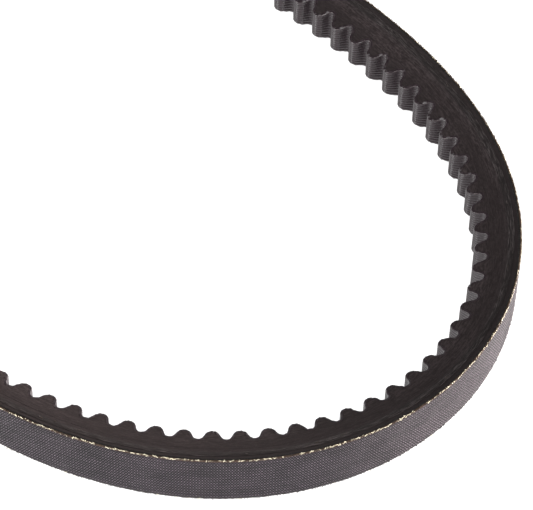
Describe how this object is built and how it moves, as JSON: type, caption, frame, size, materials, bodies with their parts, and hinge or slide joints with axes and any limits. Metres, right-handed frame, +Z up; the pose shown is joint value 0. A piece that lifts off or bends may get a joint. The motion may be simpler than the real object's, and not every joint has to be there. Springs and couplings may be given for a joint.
{
  "type": "v belt",
  "caption": "Endless cogged V belt, lying on one edge as a relaxed oval: a wedge section with a fabric back, buried cords and moulded cogs on the inside.",
  "frame": {"origin": "middle of the loop, on the plane that the lower edge of the belt rests on", "axes": "+X along the long axis of the relaxed oval, towards the length that carries the others; +Z up, along the axis of the loop; the back of the belt faces outwards"},
  "size_m": [0.2676, 0.108, 0.0095],
  "materials": {
    "back_fabric": "rubberised bias-cut canvas, matt",
    "cushion_gum": "smooth black gum",
    "tensile_cord": "twisted polyester cord",
    "adhesion_gum": "smooth black gum",
    "cog_rubber": "cut fibre-loaded rubber, satin",
    "cog_fabric": "ribbed rubberised fabric, matt"
  },
  "bodies": {
    "length_1": {"back_fabric_1": "back_fabric", "cushion_gum_1": "cushion_gum", "tensile_cord_1": "tensile_cord", "adhesion_gum_1": "adhesion_gum", "cog_rubber_1": "cog_rubber", "cog_fabric_1": "cog_fabric"},
    "length_2": {"back_fabric_2": "back_fabric", "cushion_gum_2": "cushion_gum", "tensile_cord_2": "tensile_cord", "adhesion_gum_2": "adhesion_gum", "cog_rubber_2": "cog_rubber", "cog_fabric_2": "cog_fabric"},
    "length_3": {"back_fabric_3": "back_fabric", "cushion_gum_3": "cushion_gum", "tensile_cord_3": "tensile_cord", "adhesion_gum_3": "adhesion_gum", "cog_rubber_3": "cog_rubber", "cog_fabric_3": "cog_fabric"},
    "length_4": {"back_fabric_4": "back_fabric", "cushion_gum_4": "cushion_gum", "tensile_cord_4": "tensile_cord", "adhesion_gum_4": "adhesion_gum", "cog_rubber_4": "cog_rubber", "cog_fabric_4": "cog_fabric"},
    "length_5": {"back_fabric_5": "back_fabric", "cushion_gum_5": "cushion_gum", "tensile_cord_5": "tensile_cord", "adhesion_gum_5": "adhesion_gum", "cog_rubber_5": "cog_rubber", "cog_fabric_5": "cog_fabric"},
    "length_6": {"back_fabric_6": "back_fabric", "cushion_gum_6": "cushion_gum", "tensile_cord_6": "tensile_cord", "adhesion_gum_6": "adhesion_gum", "cog_rubber_6": "cog_rubber", "cog_fabric_6": "cog_fabric"},
    "length_7": {"back_fabric_7": "back_fabric", "cushion_gum_7": "cushion_gum", "tensile_cord_7": "tensile_cord", "adhesion_gum_7": "adhesion_gum", "cog_rubber_7": "cog_rubber", "cog_fabric_7": "cog_fabric"},
    "length_8": {"back_fabric_8": "back_fabric", "cushion_gum_8": "cushion_gum", "tensile_cord_8": "tensile_cord", "adhesion_gum_8": "adhesion_gum", "cog_rubber_8": "cog_rubber", "cog_fabric_8": "cog_fabric"},
    "length_9": {"back_fabric_9": "back_fabric", "cushion_gum_9": "cushion_gum", "tensile_cord_9": "tensile_cord", "adhesion_gum_9": "adhesion_gum", "cog_rubber_9": "cog_rubber", "cog_fabric_9": "cog_fabric"}
  },
  "joints": [
    {"name": "flex_1_2", "type": "hinge", "parent": "length_1", "child": "length_2", "pos_m": [0.11587, 0.03517, 0.00475], "axis": [0, 0, 1], "range_deg": [-20, 10], "stiffness_Nm_per_rad": 0.25},
    {"name": "flex_2_3", "type": "hinge", "parent": "length_2", "child": "length_3", "pos_m": [0.0399, 0.05156, 0.00475], "axis": [0, 0, 1], "range_deg": [-10, 20], "stiffness_Nm_per_rad": 0.25},
    {"name": "flex_3_4", "type": "hinge", "parent": "length_3", "child": "length_4", "pos_m": [-0.0399, 0.05156, 0.00475], "axis": [0, 0, 1], "range_deg": [-10, 20], "stiffness_Nm_per_rad": 0.25},
    {"name": "flex_4_5", "type": "hinge", "parent": "length_4", "child": "length_5", "pos_m": [-0.11587, 0.03517, 0.00475], "axis": [0, 0, 1], "range_deg": [-20, 10], "stiffness_Nm_per_rad": 0.25},
    {"name": "flex_5_6", "type": "hinge", "parent": "length_5", "child": "length_6", "pos_m": [-0.11587, -0.03517, 0.00475], "axis": [0, 0, 1], "range_deg": [-20, 10], "stiffness_Nm_per_rad": 0.25},
    {"name": "flex_1_9", "type": "hinge", "parent": "length_1", "child": "length_9", "pos_m": [0.11587, -0.03517, 0.00475], "axis": [0, 0, 1], "range_deg": [-10, 20], "stiffness_Nm_per_rad": 0.25},
    {"name": "flex_9_8", "type": "hinge", "parent": "length_9", "child": "length_8", "pos_m": [0.0399, -0.05156, 0.00475], "axis": [0, 0, 1], "range_deg": [-20, 10], "stiffness_Nm_per_rad": 0.25},
    {"name": "flex_8_7", "type": "hinge", "parent": "length_8", "child": "length_7", "pos_m": [-0.0399, -0.05156, 0.00475], "axis": [0, 0, 1], "range_deg": [-20, 10], "stiffness_Nm_per_rad": 0.25}
  ],
  "couplings": [
    {"joint": "flex_2_3", "follows": "flex_1_2", "ratio": -1},
    {"joint": "flex_3_4", "follows": "flex_1_2", "ratio": -1},
    {"joint": "flex_4_5", "follows": "flex_1_2", "ratio": 1},
    {"joint": "flex_5_6", "follows": "flex_1_2", "ratio": 1},
    {"joint": "flex_1_9", "follows": "flex_1_2", "ratio": -1},
    {"joint": "flex_9_8", "follows": "flex_1_2", "ratio": 1},
    {"joint": "flex_8_7", "follows": "flex_1_2", "ratio": 1}
  ]
}
